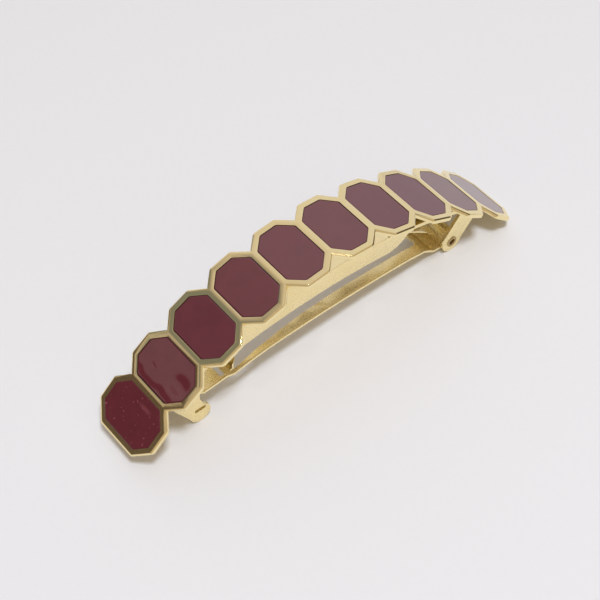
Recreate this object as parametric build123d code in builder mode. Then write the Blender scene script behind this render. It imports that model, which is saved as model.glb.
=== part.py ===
"""French-clip hair barrette: an arched row of enamelled trays on a hinged clip.

Millimetres, +Z up, +X towards the hinge, the clip's mirror plane is XZ.
Side profiles are drawn on the plane `side`, whose origin is the middle of the
top of the arch and whose v axis points up.
"""
import math
import os

from build123d import *

os.makedirs("parts", exist_ok=True)

# ---- the resting position --------------------------------------------------
apex_height = 23.023     # top of the arch above the table
middle_shift = 0.60      # puts the middle of the length on x = 0
lean = 1.69              # degrees: the wings stand taller than the hinge ears

# ---- the enamelled trays ---------------------------------------------------
cell_count = 10
cell_pitch = 10.0        # tray length along the row
cell_width = 14.5        # tray width across the row
cell_corner = 2.91       # cut-off corner of the octagon
rim_width = 0.71         # flat gold border around the enamel
enamel_corner = cell_corner - rim_width * (2 - math.sqrt(2))
enamel_round = 0.7       # radius of the enamel's corners
tray_depth = 0.82
# the border's outer part is polished round, down to a straight wall:
# distance out, depth and corner radius of each step
border_steps = [(0.10, 0.0, 0.5), (0.32, 0.05, 0.72), (0.52, 0.16, 0.9), (0.58, 0.30, 0.95)]
pocket_depth = 0.5
enamel_sink = 0.05       # enamel surface below the gold border
enamel_gap = 0.01        # enamel to border, per side
bend_middle = 0.0187     # radians per mm along the row, at the middle
bend_fade = 0.0087       # how much of that bend is lost at the ends

# ---- the clip's bar --------------------------------------------------------
bar_top = -6.0           # top of the bar at mid length, below the arch's top
bar_radius = 85.0
bar_thick = 0.8
bar_half_width = 4.1
bar_reach = 33.2         # half the bar's length, where it meets the trays
wall_thick = 0.65
skirt_thick = 0.9
skirt_start, skirt_end = -2.9, 14.0   # the skirt runs along the hinge half
flange_start = -22.3     # the bar's own walls close the other half
seam = 0.08              # fine gap between the skirt and the bar

# ---- hinge -----------------------------------------------------------------
pin_u, pin_v = 30.3, -19.85
pin_radius = 1.0
pin_bore = 0.65
pin_running_gap = 0.05
pin_head_radius = 1.15
pin_head_thick = 0.1
ear_round = 2.29         # the ear's lower end, about the pin
ear_half_width = 2.4
ear_shift = 0.43         # ear's middle line to the pin
ear_length = 8.0
ear_below_pin = 0.8
ear_tilt = 50.3          # degrees from level
ear_inner = 3.7          # inner faces of the ears, from the mirror plane
sheet = 0.65             # thickness of the ears and the latch wings

# ---- latch wings -----------------------------------------------------------
wing_inner = 3.85
wing_gap = 0.1           # bar's edge to the wing
lobe_u, lobe_v = -29.5, -21.75
lobe_radius = 2.15
wing_slot_length, wing_slot_height = 2.4, 0.8

# ---- arm and its bow spring ------------------------------------------------
arm_half_width = 4.1
arm_height = 0.95
arm_edge = 0.45          # height of the edge seen from the side
arm_recess = 0.22        # the floor lies this far below the edge
arm_rim_thick = 0.4
arm_belly = 0.35         # the underside is narrower by this much per side
slot_end = 24.0
slot_half_width = 1.6
barrel_radius = 1.95     # the arm's end, rolled round the pin
barrel_half_width = 3.5
bow_half_width = 1.7
bow_head_half_width = 2.7
bow_thick = 0.35


def side_plane():
    """The clip's mirror plane: u along the barrette, v up, facing the front."""
    turn = math.radians(lean)
    return Plane(
        origin=(middle_shift, 0, apex_height),
        x_dir=(math.cos(turn), 0, -math.sin(turn)),
        z_dir=(0, -1, 0),
    )


side = side_plane()


def bend_at(station):
    """Slope of the row, in radians, at a distance along it from its middle."""
    fade = bend_fade * station**3 / (3 * (cell_count * cell_pitch / 2) ** 2)
    return bend_middle * station - fade


def row_corner(index):
    """Side-view corner of the row where tray `index` begins, top surface."""
    u, v = 0.0, 0.0
    half = cell_count // 2
    step = 1 if index >= half else -1
    for count in range(abs(index - half)):
        slope = bend_at(step * (count + 0.5) * cell_pitch)
        u += step * cell_pitch * math.cos(slope)
        v -= step * cell_pitch * math.sin(slope)
    return u, v


def tray_plane(index, depth=0.0):
    """Plane on the top face of tray `index`, sunk by `depth`."""
    slope = bend_at((index - cell_count / 2 + 0.5) * cell_pitch)
    u0, v0 = row_corner(index)
    u = u0 + cell_pitch / 2 * math.cos(slope) - depth * math.sin(slope)
    v = v0 - cell_pitch / 2 * math.sin(slope) - depth * math.cos(slope)
    along = math.radians(lean) + slope
    return Plane(
        origin=side.from_local_coords(Vector(u, v, 0)),
        x_dir=(math.cos(along), 0, -math.sin(along)),
        z_dir=(math.sin(along), 0, math.cos(along)),
    )


def under_row(depth):
    """Side-view corners of the row's surface `depth` below the top."""
    corners = []
    for index in range(cell_count + 1):
        slope = bend_at((index - cell_count / 2) * cell_pitch)
        u, v = row_corner(index)
        corners.append((u - depth * math.sin(slope), v - depth * math.cos(slope)))
    return corners


def under_v(u, depth):
    """Height of the row's surface `depth` below the top, at distance u."""
    corners = under_row(depth)
    for (u0, v0), (u1, v1) in zip(corners, corners[1:]):
        if u0 <= u <= u1:
            return v0 + (v1 - v0) * (u - u0) / (u1 - u0)
    raise ValueError("beyond the row's end")


def bar_v(u, radius=bar_radius):
    """Height of an arc concentric with the bar's top at distance u."""
    return bar_top - bar_radius + math.sqrt(radius**2 - u**2)


def tray_outline(index, offset, radius):
    """Octagon of one tray, grown by `offset`. Where it joins its neighbours it
    runs on past the joint, to be cut there."""
    wide = cell_width / 2 + offset
    reach = cell_pitch / 2 + cell_width / 2 - cell_corner + offset * math.sqrt(2)
    low = -cell_pitch / 2 - (offset if index == 0 else 1.0)
    high = cell_pitch / 2 + (offset if index == cell_count - 1 else 1.0)
    with BuildSketch() as outline:
        with BuildLine():
            Polyline(
                (low, reach + low), (wide - reach, wide), (reach - wide, wide), (high, reach - high),
                (high, high - reach), (reach - wide, -wide), (wide - reach, -wide), (low, -reach - low),
                close=True,
            )
        make_face()
        fillet(outline.vertices(), radius=radius)
    return outline.sketch


def tray_between_joints(index):
    """Side view of the space that belongs to one tray."""
    above_row, below_row = under_row(-2.0), under_row(3.0)
    with BuildSketch() as space:
        with BuildLine():
            Polyline(
                above_row[index], above_row[index + 1], below_row[index + 1], below_row[index],
                close=True,
            )
        make_face()
        if index in (0, cell_count - 1):
            sign = -1 if index == 0 else 1
            with Locations((sign * (below_row[-1][0] + 2.0), below_row[-1][1] + 2.0)):
                Rectangle(6.0, 12.0)
    return space.sketch


def tray(index):
    """One octagonal tray: a flat border whose outer part is rounded down to a straight wall."""
    with BuildPart() as body:
        for out, depth, radius in border_steps:
            with BuildSketch(tray_plane(index, depth)):
                add(tray_outline(index, out, radius))
        loft(ruled=True)
        with BuildSketch(tray_plane(index, depth)):
            add(tray_outline(index, out, radius))
        extrude(amount=depth - tray_depth)
        with BuildSketch(side):
            add(tray_between_joints(index))
        extrude(amount=cell_width, both=True, mode=Mode.INTERSECT)
    return body.part


# ---- frame_plate: ten octagonal trays in one casting, with a skirt below -----
with BuildPart() as frame_plate:
    for index in range(cell_count):
        add(tray(index))
    with BuildSketch(side) as skirt:
        with BuildLine():
            middle = (skirt_start + skirt_end) / 2
            low = [(u, bar_v(u, bar_radius + seam)) for u in (skirt_start, middle, skirt_end)]
            ThreePointArc(*low)
            Polyline(
                low[2],
                (skirt_end, under_v(skirt_end, tray_depth) + 0.3),
                (9.0, under_v(9.0, tray_depth) + 0.3),
                (0.0, under_v(0.0, tray_depth) + 0.3),
                (skirt_start, under_v(skirt_start, tray_depth) + 0.3),
                low[0],
            )
        make_face()
    extrude(amount=bar_half_width, both=True)
    with BuildSketch(side) as between_skirts:
        with BuildLine():
            Polyline(
                (skirt_start - 1, under_v(skirt_start - 1, tray_depth)),
                (0.0, under_v(0.0, tray_depth)),
                (9.0, under_v(9.0, tray_depth)),
                (skirt_end + 1, under_v(skirt_end + 1, tray_depth)),
                (skirt_end + 1, -12.0),
                (skirt_start - 1, -12.0),
                close=True,
            )
        make_face()
    extrude(amount=bar_half_width - skirt_thick, both=True, mode=Mode.SUBTRACT)
    for index in range(cell_count):
        with BuildSketch(tray_plane(index)) as pocket:
            Rectangle(cell_pitch - 2 * rim_width, cell_width - 2 * rim_width)
            chamfer(pocket.vertices(), length=enamel_corner)
            fillet(pocket.vertices(), radius=enamel_round)
        extrude(amount=-pocket_depth, mode=Mode.SUBTRACT)

frame_plate.part.label = "frame_plate"
export_step(frame_plate.part, "parts/frame_plate.step")


def enamel_inlay(index):
    """Hard enamel that fills the pocket of one tray."""
    shrink = 2 * (rim_width + enamel_gap)
    with BuildPart() as inlay:
        with BuildSketch(tray_plane(index, pocket_depth)) as fill:
            Rectangle(cell_pitch - shrink, cell_width - shrink)
            chamfer(fill.vertices(), length=enamel_corner)
            fillet(fill.vertices(), radius=enamel_round)
        extrude(amount=pocket_depth - enamel_sink)
    return inlay.part


for index in range(cell_count):
    name = f"enamel_{index + 1:02d}"
    enamel = enamel_inlay(index)
    enamel.label = name
    export_step(enamel, f"parts/{name}.step")


# ---- top_bar: curved channel with two hinge ears -----------------------------
with BuildPart() as top_bar:
    with BuildSketch(side) as web:
        with BuildLine():
            top_left = (-bar_reach, bar_v(bar_reach))
            top_right = (bar_reach, bar_v(bar_reach))
            low_left = (-bar_reach, bar_v(bar_reach, bar_radius - bar_thick))
            low_right = (bar_reach, low_left[1])
            ThreePointArc(top_left, (0, bar_top), top_right)
            Line(top_right, low_right)
            ThreePointArc(low_right, (0, bar_top - bar_thick), low_left)
            Line(low_left, top_left)
        make_face()
    extrude(amount=bar_half_width, both=True)
    # the side walls of the channel rise and end towards the hinge
    with BuildSketch(side) as walls:
        with BuildLine():
            left = (flange_start, bar_v(flange_start) - 0.2)
            right = (20.2, bar_v(20.2) - 0.2)
            ThreePointArc(left, (0, bar_top - 0.2), right)
            Line(right, (19.0, -9.4))
            ThreePointArc((19.0, -9.4), (16.9, -10.95), (13.9, -11.5))
            ThreePointArc((13.9, -11.5), (-4.5, -10.3), (-20.2, -11.5))
            Line((-20.2, -11.5), (flange_start, -10.3))
            Line((flange_start, -10.3), left)
        make_face()
    extrude(amount=bar_half_width, both=True)
    with BuildSketch(side) as hollow:
        with BuildLine():
            left = (-30.0, bar_v(30.0, bar_radius - bar_thick))
            right = (30.0, left[1])
            ThreePointArc(left, (0, bar_top - bar_thick), right)
            Polyline(right, (30.0, -14.0), (-30.0, -14.0), left)
        make_face()
    extrude(amount=bar_half_width - wall_thick, both=True, mode=Mode.SUBTRACT)
    # towards the latch its walls also reach up to the trays
    for base in (bar_half_width - wall_thick, -bar_half_width):
        with BuildSketch(side.offset(base)) as flange:
            with BuildLine():
                inset = 0.04
                top = [p for p in under_row(tray_depth + inset) if flange_start < p[0] < skirt_start]
                first = (flange_start, under_v(flange_start, tray_depth + inset))
                last_u = skirt_start - inset
                last = (last_u, under_v(last_u, tray_depth + inset))
                middle = (flange_start + last_u) / 2
                low = [(u, bar_v(u) - 0.3) for u in (last_u, middle, flange_start)]
                Polyline(first, *top, last, low[0])
                ThreePointArc(*low)
                Line(low[2], first)
            make_face()
        extrude(amount=wall_thick)
    # the bar is narrower between the latch wings
    for front in (1, -1):
        with BuildSketch(side.offset(front * (wing_inner - wing_gap))):
            with Locations((-32.0, -13.0)):
                Rectangle(6.4, 6.0)
        extrude(amount=front * 2.0, mode=Mode.SUBTRACT)
    # the hinge ears, one at each edge
    tilt = math.radians(ear_tilt)
    ear_along = ear_length / 2 - ear_below_pin
    ear_mid_u = pin_u + ear_along * math.cos(tilt) - ear_shift * math.sin(tilt)
    ear_mid_v = pin_v + ear_along * math.sin(tilt) + ear_shift * math.cos(tilt)
    for base in (ear_inner, -ear_inner - sheet):
        with BuildSketch(side.offset(base)) as ear:
            with Locations((pin_u, pin_v)):
                Circle(ear_round)
            with Locations(Location((ear_mid_u, ear_mid_v, 0), (0, 0, ear_tilt))):
                Rectangle(ear_length, 2 * ear_half_width)
            with Locations((pin_u, pin_v)):
                Circle(pin_radius + 0.01, mode=Mode.SUBTRACT)
        extrude(amount=sheet)

top_bar.part.label = "top_bar"
export_step(top_bar.part, "parts/top_bar.step")


# ---- solder: wedges that hold the bar to the trays --------------------------
def solder_wedge(sign):
    """Solder between the bar's end and the underside of the trays."""
    with BuildPart() as wedge:
        with BuildSketch(side) as gap:
            near, far = 31.2, 32.9
            with BuildLine():
                Polyline(
                    (sign * near, bar_v(near) + 0.02),
                    (sign * far, bar_v(far) + 0.02),
                    (sign * far, under_v(far, tray_depth) - 0.03),
                    (sign * near, under_v(near, tray_depth) - 0.03),
                    close=True,
                )
            make_face()
        extrude(amount=2.8, both=True)
    return wedge.part


for name, sign in (("solder_latch_end", -1), ("solder_hinge_end", 1)):
    solder = solder_wedge(sign)
    solder.label = name
    export_step(solder, f"parts/{name}.step")


# ---- hinge_pin: rolled tube with turned-over ends ----------------------------
with BuildPart() as hinge_pin:
    with BuildSketch(side) as tube:
        with Locations((pin_u, pin_v)):
            Circle(pin_radius)
    extrude(amount=ear_inner + sheet + 0.02, both=True)
    for base in (ear_inner + sheet + 0.01, -ear_inner - sheet - 0.01 - pin_head_thick):
        with BuildSketch(side.offset(base)):
            with Locations((pin_u, pin_v)):
                Circle(pin_head_radius)
        extrude(amount=pin_head_thick)
    with BuildSketch(side) as tube_bore:
        with Locations((pin_u, pin_v)):
            Circle(pin_bore)
    extrude(amount=ear_inner + sheet + 1.0, both=True, mode=Mode.SUBTRACT)

hinge_pin.part.label = "hinge_pin"
export_step(hinge_pin.part, "parts/hinge_pin.step")


# ---- latch wings -----------------------------------------------------------
def latch_wing(base):
    """One springy wing, drawn on the side plane moved out by `base`."""
    with BuildPart() as wing:
        with BuildSketch(side.offset(base)) as outline:
            with BuildLine():
                Polyline(
                    (-35.5, -15.2),
                    (-33.8, -13.7),
                    (-29.3, -11.6),
                    (-29.3, -17.9),
                    (-28.45, -19.9),
                    (lobe_u, lobe_v),
                    (-31.45, -22.45),
                    close=True,
                )
            make_face()
            with Locations((lobe_u, lobe_v)):
                Circle(lobe_radius)
            with Locations((-29.5, -20.55)):
                SlotOverall(wing_slot_length, wing_slot_height, mode=Mode.SUBTRACT)
        extrude(amount=sheet)
    return wing.part


for name, base in (("latch_wing_front", wing_inner), ("latch_wing_back", -wing_inner - sheet)):
    wing = latch_wing(base)
    wing.label = name
    export_step(wing, f"parts/{name}.step")


# ---- arm: long slotted strip, shallow trough in section ------------------------
def arm_band(drop_top, drop_bottom):
    """Face between two copies of the arm's edge line, dropped by two amounts."""
    ramp = [(23.4, -17.8), (26.4, -20.3), (29.6, -21.8 + arm_height)]
    with BuildSketch() as band:
        with BuildLine():
            ThreePointArc((-33.2, -17.5 - drop_top), (-4.0, -16.1 - drop_top), (20.0, -17.2 - drop_top))
            Polyline(
                (20.0, -17.2 - drop_top),
                *[(u, v - drop_top) for u, v in ramp],
                *[(u, v - drop_bottom) for u, v in reversed(ramp)],
                (20.0, -17.2 - drop_bottom),
            )
            ThreePointArc(
                (20.0, -17.2 - drop_bottom),
                (-4.0, -16.1 - drop_bottom),
                (-33.2, -17.5 - drop_bottom),
            )
            Line((-33.2, -17.5 - drop_bottom), (-33.2, -17.5 - drop_top))
        make_face()
    return band.sketch


def arm_outline(inset):
    """The arm seen from above, shrunk by `inset`."""
    tip = -33.0 + inset
    edge = [
        (tip, 1.6), (tip + 1.6, 3.2), (-29.4, 3.2), (-28.0, arm_half_width), (-22.9, arm_half_width),
        (-21.6, 4.5), (-19.0, 4.3), (-14.0, arm_half_width), (23.0, arm_half_width),
        (25.6, barrel_half_width), (31.0, barrel_half_width),
    ]
    with BuildSketch() as outline:
        with BuildLine():
            Polyline(*[(u, y - inset) for u, y in edge], (31.0, 0), (tip, 0), close=True)
        make_face()
        mirror(about=Plane.XZ)
    return outline.sketch


def arm_openings():
    """The slot, wide beside the strap, and the window on the strap's other side."""
    edge = [
        (-21.8, 3.5), (-20.3, 3.5), (-16.0, 2.8), (-10.0, 2.2), (-4.0, 1.75), (2.0, slot_half_width),
        (slot_end - slot_half_width, slot_half_width),
    ]
    with BuildSketch() as openings:
        with BuildLine():
            Polyline(*edge, (edge[-1][0], 0), (edge[0][0], 0), close=True)
        make_face()
        mirror(about=Plane.XZ)
        with Locations((slot_end - slot_half_width, 0)):
            Circle(slot_half_width)
        with Locations((-23.4, 0)):
            Rectangle(1.0, 6.6)
    return openings.sketch


above = Plane(side.origin, x_dir=side.x_dir, z_dir=side.y_dir)


def arm_layer(drop_top, drop_bottom, inset):
    """Part of the arm's height, with its outline shrunk by `inset`."""
    with BuildPart() as layer:
        with BuildSketch(side):
            add(arm_band(drop_top, drop_bottom))
        extrude(amount=5.0, both=True)
        with BuildSketch(above):
            add(arm_outline(inset))
        extrude(amount=-30.0, mode=Mode.INTERSECT)
    return layer.part


with BuildPart() as arm:
    add(arm_layer(0.0, arm_edge + 0.1, 0.0))
    add(arm_layer(arm_edge, arm_height, arm_belly))
    add(arm_layer(-0.5, arm_recess, arm_rim_thick), mode=Mode.SUBTRACT)
    with BuildSketch(side):
        with Locations((pin_u, pin_v)):
            Circle(barrel_radius)
    extrude(amount=barrel_half_width, both=True)
    with BuildSketch(side):
        with Locations((pin_u, pin_v)):
            Circle(pin_radius + pin_running_gap)
    extrude(amount=6.0, both=True, mode=Mode.SUBTRACT)
    with BuildSketch(above):
        add(arm_openings())
    extrude(amount=-30.0, mode=Mode.SUBTRACT)

arm.part.label = "arm"
export_step(arm.part, "parts/arm.step")


# ---- bow_spring: thin strip arched up into the bar ---------------------------
with BuildPart() as bow_spring:
    with BuildSketch(side) as bow:
        foot_u, foot_v = -20.9, -16.6
        rest_u, rest_v = 27.9, -18.0
        peak = (3.5, -7.6)
        with BuildLine():
            ThreePointArc((foot_u, foot_v), peak, (rest_u, rest_v))
            Line((rest_u, rest_v), (rest_u - bow_thick, rest_v - 0.1))
            ThreePointArc(
                (rest_u - bow_thick, rest_v - 0.1),
                (peak[0], peak[1] - bow_thick),
                (foot_u + bow_thick, foot_v - 0.1),
            )
            # the foot steps down through the slot and under the strap
            Polyline(
                (foot_u + bow_thick, foot_v - 0.1),
                (foot_u + bow_thick, -17.8 - bow_thick),
                (-22.7, -17.8 - bow_thick),
                (-22.7, -17.8),
                (foot_u, -17.8),
                (foot_u, foot_v),
            )
        make_face()
    extrude(amount=bow_head_half_width, both=True)
    with BuildSketch(above) as strip:
        with Locations((4.0, 0)):
            Rectangle(50.0, 2 * bow_half_width)
        with Locations((-21.35, 0)):
            RectangleRounded(3.1, 2 * bow_head_half_width, 1.0)
    extrude(amount=-30.0, mode=Mode.INTERSECT)

bow_spring.part.label = "bow_spring"
export_step(bow_spring.part, "parts/bow_spring.step")
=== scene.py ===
import math
import random

import bpy
import bmesh
from mathutils import Matrix, Vector


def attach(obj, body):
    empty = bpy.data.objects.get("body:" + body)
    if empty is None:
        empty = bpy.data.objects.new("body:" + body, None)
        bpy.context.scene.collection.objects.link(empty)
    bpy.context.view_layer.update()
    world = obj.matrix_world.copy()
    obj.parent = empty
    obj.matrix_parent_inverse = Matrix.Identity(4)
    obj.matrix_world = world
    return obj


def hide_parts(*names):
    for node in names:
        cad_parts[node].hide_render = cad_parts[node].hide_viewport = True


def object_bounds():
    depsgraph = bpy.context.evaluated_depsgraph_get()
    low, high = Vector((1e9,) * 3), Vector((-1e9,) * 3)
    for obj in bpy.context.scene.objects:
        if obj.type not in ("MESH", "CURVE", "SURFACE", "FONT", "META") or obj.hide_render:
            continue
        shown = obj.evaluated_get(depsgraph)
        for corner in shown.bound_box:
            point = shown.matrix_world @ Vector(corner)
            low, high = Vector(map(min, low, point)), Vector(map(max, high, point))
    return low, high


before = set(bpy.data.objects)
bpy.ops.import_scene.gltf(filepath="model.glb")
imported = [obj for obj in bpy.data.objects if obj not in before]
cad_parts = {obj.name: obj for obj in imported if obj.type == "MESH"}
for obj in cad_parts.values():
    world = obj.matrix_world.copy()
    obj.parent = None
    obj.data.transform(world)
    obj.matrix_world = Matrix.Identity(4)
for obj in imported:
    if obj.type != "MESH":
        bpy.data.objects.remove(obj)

cad_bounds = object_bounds()
MM = 0.001

# ---- looks, in millimetres and degrees ---------------------------------------
CAMERA_AZIMUTH = -36.0
CAMERA_ELEVATION = 52.3
CAMERA_ROLL = 3.7
CAMERA_DISTANCE = 262.1
CAMERA_LENS = 90.35          # on a 36 mm sensor
AIM_OFFSET = (-6.87, -5.21, 4.85)   # from the middle of the object

EDGE_ROUND = {                # rounded edges of the metal parts
    "frame_plate": 0.06,
    "top_bar": 0.10,
    "arm": 0.12,
    "latch_wing_front": 0.10,
    "latch_wing_back": 0.10,
    "hinge_pin": 0.05,
    "bow_spring": 0.05,
    "solder_latch_end": 0.05,
    "solder_hinge_end": 0.05,
}
WELD_DISTANCE = 0.0005
FLAT_ANGLE = 0.3              # faces this close to level are joined before rounding
SHARP_ANGLE = 25.0            # edges sharper than this are rounded

ENAMEL_ROUND = 0.70           # radius of the enamel's corners
OVERFILL = {1: 0.22}          # how far a tray's enamel runs over its border
OVERFILL_RISE = 0.09          # how much higher such enamel stands
GROOVE_DEPTH = 0.07           # fine groove where enamel meets its border
GROOVE_WIDTH = 0.3
RIPPLE = 0.004                # height of the enamel's slow waves
EDGE_SHADE_LINE = (0.08, 0.24)       # painted shade: the dark line of shade at the enamel's edge fades between these
OUTLINE_STEP = 0.7            # spacing of points along the enamel's straight edges
CORNER_STEPS = 4
# rings of the enamel's surface, as shares of its outline, closer near the border
RINGS = [1, 0.99, 0.98, 0.968, 0.955, 0.94] + [0.92 - 0.04 * k for k in range(23)]

GOLD = (0.97, 0.83, 0.47, 1.0)
GOLD_WORN = (0.93, 0.86, 0.66, 1.0)
ENAMEL = (0.130, 0.019, 0.028, 1.0)
WEAR_WIDTH = 0.12             # rubbed band along the plate's edges
PAPER = ((0.83, 0.84, 0.86, 1), (0.85, 0.86, 0.88, 1))
FLOOR_HALF = 3000.0
FLOOR_DROP = 0.02             # the floor lies this far under the feet

# radiance of the studio round the row's axis, degrees from straight up towards +X
STUDIO = [
    (-90, (0.14, 0.11, 0.09)), (-52, (0.10, 0.075, 0.06)), (-50, (0.46, 0.39, 0.36)),
    (-43, (0.52, 0.46, 0.41)), (-37, (0.21, 0.22, 0.22)), (-19, (0.21, 0.22, 0.22)),
    (-9, (0.42, 0.37, 0.35)), (-2, (0.50, 0.45, 0.43)), (8, (0.68, 0.62, 0.60)),
    (17, (0.68, 0.63, 0.63)), (39, (0.74, 0.71, 0.70)), (60, (0.74, 0.71, 0.74)),
    (90, (0.75, 0.73, 0.78)),
]
DARK_PATCH = Vector((0.93, -0.25, 0.28))   # direction of the studio's one dark patch
DARK_PATCH_COLOUR = (0.10, 0.08, 0.05, 1)
DARK_PATCH_FADE = (28, 21)                 # degrees from its middle, outer to inner
FRONT_GLOW = (0.54, 0.45, 0.36, 1)         # radiance of the near half of the studio
FRONT_FADE = (0.15, -0.1)                  # a direction's y where that half fades in
# lamps: place and disc size in millimetres, watts, colour, seen in reflections
LAMPS = {
    "key": ((-90.0, -320.0, 1000.0), 200.0, 5.7, (0.95, 1.0, 1.10), False),
    "sparkle": ((30.0, -60.0, 600.0), 22.0, 0.12, (1.0, 0.97, 0.9), True),
}


# ---- camera --------------------------------------------------------------------
def make_camera():
    low, high = cad_bounds
    middle = (Vector(low) + Vector(high)) / 2
    aim = middle + Vector(AIM_OFFSET) * MM
    azimuth = math.radians(CAMERA_AZIMUTH)
    elevation = math.radians(CAMERA_ELEVATION)
    forward = Vector((
        -math.sin(azimuth) * math.cos(elevation),
        math.cos(azimuth) * math.cos(elevation),
        -math.sin(elevation),
    ))
    data = bpy.data.cameras.new("camera")
    data.lens = CAMERA_LENS
    data.sensor_width = 36
    data.clip_start = 0.01
    data.clip_end = 20
    camera = bpy.data.objects.new("camera", data)
    bpy.context.scene.collection.objects.link(camera)
    turn = forward.to_track_quat("-Z", "Y").to_matrix().to_4x4()
    roll = Matrix.Rotation(-math.radians(CAMERA_ROLL), 4, "Z")
    camera.matrix_world = Matrix.Translation(aim - forward * CAMERA_DISTANCE * MM) @ turn @ roll
    bpy.context.scene.camera = camera


make_camera()


# ---- node helpers ----------------------------------------------------------------
def new_material(name):
    material = bpy.data.materials.new(name)
    material.use_nodes = True
    tree = material.node_tree
    return material, tree, tree.nodes["Principled BSDF"]


def add_node(tree, kind, **settings):
    node = tree.nodes.new(kind)
    for key, value in settings.items():
        if key in node.inputs:
            node.inputs[key].default_value = value
        else:
            setattr(node, key, value)
    return node


def noise(tree, coords, scale_mm, detail=2.0, rough=0.5):
    """Noise whose features are about `scale_mm` wide."""
    scale = 1 / (scale_mm * MM)
    node = add_node(tree, "ShaderNodeTexNoise", Scale=scale, Detail=detail, Roughness=rough)
    tree.links.new(coords, node.inputs["Vector"])
    return node.outputs["Fac"]


def ramp(tree, value, low, high, to_low, to_high):
    node = add_node(tree, "ShaderNodeMapRange")
    node.inputs["From Min"].default_value = low
    node.inputs["From Max"].default_value = high
    node.inputs["To Min"].default_value = to_low
    node.inputs["To Max"].default_value = to_high
    tree.links.new(value, node.inputs["Value"])
    return node.outputs["Result"]


def bump(tree, height, distance_mm, strength, normal=None):
    node = add_node(tree, "ShaderNodeBump", Strength=strength, Distance=distance_mm * MM)
    tree.links.new(height, node.inputs["Height"])
    if normal is not None:
        tree.links.new(normal, node.inputs["Normal"])
    return node.outputs["Normal"]


def colour_mix(tree, factor, first, second):
    """Mix two colours; each is a fixed colour or the output of another node."""
    node = add_node(tree, "ShaderNodeMix", data_type="RGBA")
    tree.links.new(factor, node.inputs["Factor"])
    sockets = [s for s in node.inputs if s.type == "RGBA"]
    for socket, colour in zip(sockets, (first, second)):
        if isinstance(colour, tuple):
            socket.default_value = colour
        else:
            tree.links.new(colour, socket)
    return [out for out in node.outputs if out.type == "RGBA"][0]


def edge_mask(tree, radius_mm):
    """White at sharp outer edges, where the plate is rubbed."""
    rounded = add_node(tree, "ShaderNodeBevel", samples=4, Radius=radius_mm * MM)
    plain = add_node(tree, "ShaderNodeNewGeometry")
    dot = add_node(tree, "ShaderNodeVectorMath", operation="DOT_PRODUCT")
    tree.links.new(rounded.outputs["Normal"], dot.inputs[0])
    tree.links.new(plain.outputs["Normal"], dot.inputs[1])
    return ramp(tree, dot.outputs["Value"], 0.995, 0.9, 0, 1)


# ---- materials ---------------------------------------------------------------------
def gold_material(name, roughness, streak, plate=GOLD, metallic=1.0):
    """Bright gold plate: faint cloudy colour, rubbed edges, fine marks, soft orange peel."""
    material, tree, shader = new_material(name)
    coords = add_node(tree, "ShaderNodeTexCoord").outputs["Object"]
    cloud = noise(tree, coords, 6.0, 3.0)
    warm = (plate[0] * 0.97, plate[1] * 0.95, plate[2] * 0.88, 1)
    tint = colour_mix(tree, ramp(tree, cloud, 0.35, 0.7, 0, 1), (*plate[:3], 1), warm)
    worn = ramp(tree, edge_mask(tree, WEAR_WIDTH), 0, 1, 0, 0.6)
    tree.links.new(colour_mix(tree, worn, tint, GOLD_WORN), shader.inputs["Base Color"])
    shader.inputs["Metallic"].default_value = metallic
    fine = noise(tree, coords, 0.25, 2.0)
    uneven = ramp(tree, fine, 0.3, 0.7, roughness * 0.8, roughness * 1.25)
    tree.links.new(uneven, shader.inputs["Roughness"])
    stretch = add_node(tree, "ShaderNodeMapping")
    stretch.inputs["Scale"].default_value = (0.12, 1.0, 1.0)
    tree.links.new(coords, stretch.inputs["Vector"])
    lines = noise(tree, stretch.outputs["Vector"], 0.12, 1.0)
    marks = bump(tree, lines, 0.004, streak)
    peel = bump(tree, noise(tree, coords, 1.6, 1.0), 0.012, 0.3, marks)
    tree.links.new(peel, shader.inputs["Normal"])
    return material


def enamel_material(name, pits):
    """Deep burgundy enamel under a clear gloss, with slow waves and fine pits, a painted highlight
    streak and a painted dark line of shade at its edge.
    """
    material, tree, shader = new_material(name)
    coords = add_node(tree, "ShaderNodeTexCoord").outputs["Object"]
    cloud = noise(tree, coords, 3.0, 3.0)
    deep = tuple(c * 0.88 for c in ENAMEL[:3]) + (1,)
    body = colour_mix(tree, ramp(tree, cloud, 0.35, 0.68, 0, 1), ENAMEL, deep)
    specks = noise(tree, coords, 0.5, 1.5, 0.45)
    pit_mask = ramp(tree, specks, 0.78 - pits, 0.84 - pits, 0, 1)
    # paler enamel colour, used for the pale specks and for the painted highlight streak
    light = (ENAMEL[0] * 2.2, ENAMEL[1] * 4.0, ENAMEL[2] * 3.5, 1)
    speckled = colour_mix(tree, pit_mask, body, light)
    # painted highlight: a pale streak painted into the first tray's enamel colour
    highlight_streak = add_node(tree, "ShaderNodeAttribute", attribute_name="highlight_streak").outputs["Fac"]
    painted_highlight = colour_mix(tree, ramp(tree, highlight_streak, 0.1, 1, 0, 0.45), speckled, light)
    # painted shade: the enamel's colour darkens to a quarter at its edge, where the border shades it
    edge_shade = add_node(tree, "ShaderNodeAttribute", attribute_name="edge_shade").outputs["Fac"]
    edge_shade_colour = tuple(c * 0.25 for c in ENAMEL[:3]) + (1,)
    tree.links.new(colour_mix(tree, edge_shade, painted_highlight, edge_shade_colour), shader.inputs["Base Color"])
    tree.links.new(ramp(tree, cloud, 0.3, 0.7, 0.07, 0.12), shader.inputs["Roughness"])
    tree.links.new(ramp(tree, edge_shade, 0, 1, 1.72, 1.35), shader.inputs["IOR"])
    tree.links.new(ramp(tree, edge_shade, 0, 1, 0.45, 0), shader.inputs["Coat Weight"])
    shader.inputs["Coat IOR"].default_value = 1.55
    shader.inputs["Coat Roughness"].default_value = 0.06
    flow = bump(tree, noise(tree, coords, 4.5, 1.0), 0.04, 0.2)
    dents = bump(tree, pit_mask, 0.02, 0.4, flow)
    tree.links.new(dents, shader.inputs["Normal"])
    return material


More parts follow.
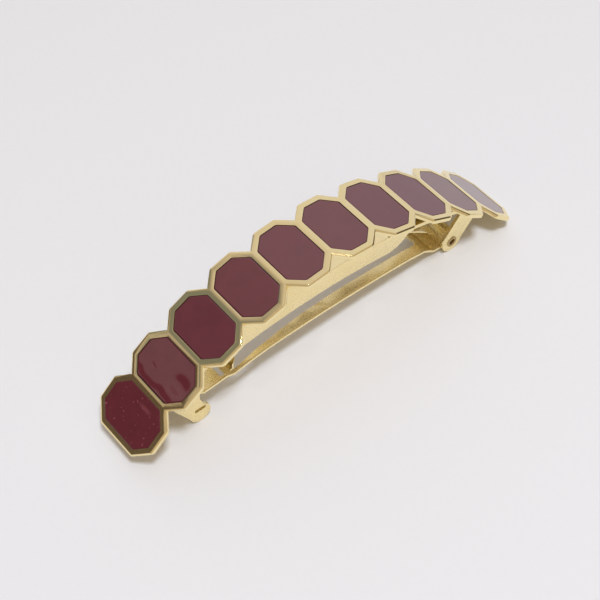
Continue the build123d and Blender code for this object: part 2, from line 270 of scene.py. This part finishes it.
cast_gold = gold_material("cast_gold", 0.14, 0.10)
clip_gold = gold_material("clip_gold", 0.28, 0.30)
arm_gold = gold_material("arm_gold", 0.28, 0.30, GOLD, 0.82)
# painted shade: the pin's metal is painted dark to stand in for the shade of the hole it sits in
pin_shade_gold = gold_material("pin_shade_gold", 0.40, 0.10, (0.50, 0.36, 0.16))
solder_gold = gold_material("solder_gold", 0.22, 0.30)
enamel_pitted = enamel_material("enamel_pitted", 0.10)
enamel_clear = enamel_material("enamel_clear", 0.0)


# ---- CAD metal: rounded edges and gold -----------------------------------------------
def finish_metal(node, edge_mm, material):
    """Round a CAD part's sharp edges and give it its metal."""
    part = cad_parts[node]
    part.data.materials.clear()
    part.data.materials.append(material)
    weld = part.modifiers.new("weld", "WELD")
    weld.merge_threshold = WELD_DISTANCE * MM
    flat = part.modifiers.new("flat", "DECIMATE")
    flat.decimate_type = "DISSOLVE"
    flat.angle_limit = math.radians(FLAT_ANGLE)
    bevel = part.modifiers.new("round", "BEVEL")
    bevel.width = edge_mm * MM
    bevel.segments = 3
    bevel.limit_method = "ANGLE"
    bevel.angle_limit = math.radians(SHARP_ANGLE)
    bevel.harden_normals = True
    for polygon in part.data.polygons:
        polygon.use_smooth = True


METALS = {
    "arm": arm_gold,
    "frame_plate": cast_gold,
    "hinge_pin": pin_shade_gold,
    "solder_latch_end": solder_gold,
    "solder_hinge_end": solder_gold,
}
for node, edge in EDGE_ROUND.items():
    finish_metal(node, edge, METALS.get(node, clip_gold))


# ---- enamel surfaces --------------------------------------------------------------------
def tray_axes(node):
    """Local axes, centre and sizes of one enamel inlay, read from its CAD solid."""
    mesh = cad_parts[node].data
    areas = {}
    for polygon in mesh.polygons:
        key = tuple(round(c, 2) for c in polygon.normal)
        areas[key] = areas.get(key, 0) + polygon.area
    normal = Vector(max((k for k in areas if k[2] > 0.3), key=lambda k: areas[k])).normalized()
    normal = sum(
        (p.normal * p.area for p in mesh.polygons if p.normal.dot(normal) > 0.999), Vector()
    ).normalized()
    along = Vector((0, 1, 0)).cross(normal).normalized()
    axes = Matrix((along, Vector((0, 1, 0)), normal))
    local = [axes @ v.co for v in mesh.vertices]
    low = Vector([min(p[i] for p in local) for i in range(3)])
    high = Vector([max(p[i] for p in local) for i in range(3)])
    half_length = (high.x - low.x) / 2
    half_width = (high.y - low.y) / 2
    middle = (low + high) / 2
    straight = max(abs(p.x - middle.x) for p in local if abs(p.y - middle.y) > half_width * 0.999)
    top = axes.transposed() @ Vector((middle.x, middle.y, high.z))
    corner = half_length - straight - ENAMEL_ROUND * MM * math.tan(math.radians(22.5))
    return axes.transposed(), top, half_length, half_width, corner, high.z - low.z


def add_object(name, mesh):
    """Put a finished bmesh into the scene as an object."""
    data = bpy.data.meshes.new(name)
    mesh.to_mesh(data)
    mesh.free()
    item = bpy.data.objects.new(name, data)
    bpy.context.scene.collection.objects.link(item)
    return item


def octagon_loop(half_length, half_width, corner, radius):
    """Points round an octagon whose corners have a small radius."""
    flat_x, flat_y = half_length - corner, half_width - corner
    corners = [
        (half_length, flat_y), (flat_x, half_width), (-flat_x, half_width), (-half_length, flat_y),
        (-half_length, -flat_y), (-flat_x, -half_width), (flat_x, -half_width), (half_length, -flat_y),
    ]
    cut = radius * math.tan(math.radians(22.5))
    points = []
    for i, at in enumerate(corners):
        at = Vector(at)
        back = (Vector(corners[i - 1]) - at).normalized()
        ahead = Vector(corners[(i + 1) % 8]) - at
        length = ahead.length
        ahead.normalize()
        start, end = at + back * cut, at + ahead * cut
        for k in range(CORNER_STEPS + 1):
            t = k / CORNER_STEPS
            points.append(start * (1 - t) ** 2 + at * 2 * t * (1 - t) + end * t**2)
        steps = max(2, round(length / (OUTLINE_STEP * MM)))
        for k in range(1, steps):
            points.append(end.lerp(at + ahead * (length - cut), k / steps))
    return points


def soft_step(value, low, high):
    t = min(1.0, max(0.0, (value - low) / (high - low)))
    return t * t * (3 - 2 * t)


def first_cell_highlight(x, y):
    """Painted highlight on the first tray's enamel: one pale streak beside its inner border."""
    return math.exp(-(((x - 2.5) / 0.4) ** 2) - ((y + 1.6) / 1.5) ** 4)


def second_cell_marks(x, y):
    """The second tray's uneven pour: low along one edge, with a shallow hollow."""
    wavy = x + 2.9 + 0.3 * math.sin(y * 0.9) + 0.12 * math.sin(y * 2.2 + 1)
    low_edge = -0.06 * soft_step(-wavy, -0.3, 1.2)
    hollow = -0.11 * math.exp(-(((x + 0.3) / 1.5) ** 2 + ((y + 4.0) / 1.9) ** 2) ** 1.5)
    crease = -0.02 * math.exp(-(((x + 0.9 - 0.3 * (y - 3)) / 0.2) ** 2 + ((y - 2.6) / 0.8) ** 2))
    return low_edge + hollow + crease


MARKS = {2: second_cell_marks}
PAINTED_HIGHLIGHTS = {1: first_cell_highlight}


def to_border(x, y, half_length, half_width, corner):
    """Distance in millimetres from a point inside the octagon to its nearest side."""
    return max(0.0, min(
        half_length - abs(x),
        half_width - abs(y),
        (half_length + half_width - corner - abs(x) - abs(y)) / math.sqrt(2),
    )) / MM


def enamel_surface(index, size, lift):
    """The height of one tray's enamel as a function of place, with its waves and marks."""
    random.seed(index)
    phases = [random.uniform(0, 6.28) for _ in range(3)]
    marks = MARKS.get(index)

    def height(x, y):
        to_side = to_border(x, y, *size)
        x, y = x / MM, y / MM
        groove = GROOVE_DEPTH * (1 - soft_step(to_side, 0, GROOVE_WIDTH))
        ripple = math.sin(x / 1.3 + phases[0]) * math.sin(y / 2.1 + phases[1])
        ripple += 0.6 * math.sin((x + y) / 1.7 + phases[2])
        rise = RIPPLE * ripple * soft_step(to_side, 0.2, 1.5) - groove + lift
        if marks:
            rise += marks(x, y) * soft_step(to_side, 0, 0.35)
        return rise * MM

    return height


def close_pour(mesh, loops, centre, base):
    """Faces between the rings, in to the centre, down the side and across the base."""
    count = len(base)
    for outer, inner in zip(loops, loops[1:]):
        for i in range(count):
            j = (i + 1) % count
            mesh.faces.new((outer[i], outer[j], inner[j], inner[i]))
    for i in range(count):
        j = (i + 1) % count
        mesh.faces.new((loops[-1][i], loops[-1][j], centre))
        mesh.faces.new((base[i], base[j], loops[0][j], loops[0][i]))
    mesh.faces.new(list(reversed(base)))
    bmesh.ops.recalc_face_normals(mesh, faces=mesh.faces)


def enamel_piece(index, material):
    """Enamel poured into one tray, with slow waves and a fine groove at the border."""
    node = f"enamel_{index:02d}"
    axes, top, half_length, half_width, corner, depth = tray_axes(node)
    spill = OVERFILL.get(index, 0.0)
    half_length += spill * MM
    half_width += spill * MM
    corner += spill * MM * (2 - math.sqrt(2))
    size = (half_length, half_width, corner)
    height = enamel_surface(index, size, OVERFILL_RISE if spill else 0.0)
    painted_highlight = PAINTED_HIGHLIGHTS.get(index)

    outline = octagon_loop(*size, ENAMEL_ROUND * MM)
    mesh = bmesh.new()
    loops = []
    edge_shade = []
    highlight_streak = []
    for scale in RINGS:
        loop = []
        for p in outline:
            x, y = p.x * scale, p.y * scale
            loop.append(mesh.verts.new(top + axes @ Vector((x, y, height(x, y)))))
            # how much painted shade each point gets near the border
            edge_shade.append(1 - soft_step(to_border(x, y, *size), *EDGE_SHADE_LINE))
            highlight_streak.append(painted_highlight(x / MM, y / MM) if painted_highlight else 0.0)
        loops.append(loop)
    centre = mesh.verts.new(top + axes @ Vector((0, 0, height(0, 0))))
    base = [mesh.verts.new(top + axes @ Vector((p.x, p.y, -depth))) for p in outline]
    edge_shade += [0.0] + [1.0] * len(base)
    highlight_streak += [0.0] * (1 + len(base))
    close_pour(mesh, loops, centre, base)

    piece = add_object(f"enamel_pour_{index:02d}", mesh)
    data = piece.data
    data.attributes.new("edge_shade", "FLOAT", "POINT").data.foreach_set("value", edge_shade)
    data.attributes.new("highlight_streak", "FLOAT", "POINT").data.foreach_set("value", highlight_streak)
    for polygon in data.polygons:
        polygon.use_smooth = True
    data.materials.append(material)
    sharp = piece.modifiers.new("edge", "EDGE_SPLIT")
    sharp.split_angle = math.radians(50)
    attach(piece, "frame")
    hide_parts(node)


for index in range(1, 11):
    enamel_piece(index, enamel_pitted if index == 1 else enamel_clear)


# ---- floor, world and lights ------------------------------------------------------------
def make_floor():
    mesh = bmesh.new()
    bmesh.ops.create_grid(mesh, x_segments=2, y_segments=2, size=FLOOR_HALF * MM)
    floor = add_object("floor", mesh)
    floor.location.z = cad_bounds[0][2] - FLOOR_DROP * MM
    material, tree, shader = new_material("floor")
    coords = add_node(tree, "ShaderNodeTexCoord").outputs["Object"]
    grain = noise(tree, coords, 1.2, 3.0)
    tree.links.new(colour_mix(tree, grain, *PAPER), shader.inputs["Base Color"])
    shader.inputs["Roughness"].default_value = 0.7
    floor.data.materials.append(material)


def make_world():
    """A plain studio whose brightness changes round the row's axis, with one dark patch."""
    world = bpy.data.worlds.new("studio")
    bpy.context.scene.world = world
    world.use_nodes = True
    tree = world.node_tree
    back = tree.nodes["Background"]
    direction = add_node(tree, "ShaderNodeTexCoord").outputs["Generated"]
    split = add_node(tree, "ShaderNodeSeparateXYZ")
    tree.links.new(direction, split.inputs["Vector"])
    angle = add_node(tree, "ShaderNodeMath", operation="ARCTAN2")
    tree.links.new(split.outputs["X"], angle.inputs[0])
    tree.links.new(split.outputs["Z"], angle.inputs[1])
    place = ramp(tree, angle.outputs["Value"], -math.pi / 2, math.pi / 2, 0, 1)
    bands = add_node(tree, "ShaderNodeValToRGB")
    tree.links.new(place, bands.inputs["Fac"])
    elements = bands.color_ramp.elements
    for k, (degrees, colour) in enumerate(STUDIO):
        spot = (degrees + 90) / 180
        element = elements[k] if k < 2 else elements.new(spot)
        element.position = spot
        element.color = (*colour, 1)
    near = ramp(tree, split.outputs["Y"], *FRONT_FADE, 0, 1)
    room = colour_mix(tree, near, bands.outputs["Color"], FRONT_GLOW)
    toward = add_node(tree, "ShaderNodeVectorMath", operation="DOT_PRODUCT")
    tree.links.new(direction, toward.inputs[0])
    toward.inputs[1].default_value = DARK_PATCH.normalized()
    outer, inner = (math.cos(math.radians(degrees)) for degrees in DARK_PATCH_FADE)
    patch = ramp(tree, toward.outputs["Value"], outer, inner, 0, 1)
    tree.links.new(colour_mix(tree, patch, room, DARK_PATCH_COLOUR), back.inputs["Color"])
    back.inputs["Strength"].default_value = 1.0


def lamp(name, at, size, power, colour, reflected):
    """A round lamp that shines at the object."""
    data = bpy.data.lights.new(name, "AREA")
    data.shape = "DISK"
    data.size = size * MM
    data.energy = power
    data.color = colour
    light = bpy.data.objects.new(name, data)
    bpy.context.scene.collection.objects.link(light)
    light.location = Vector(at) * MM
    light.rotation_euler = Vector(at).to_track_quat("Z", "Y").to_euler()
    light.visible_glossy = reflected


make_floor()
make_world()
for name, settings in LAMPS.items():
    lamp(name, *settings)

bpy.context.scene.view_settings.view_transform = "Standard"
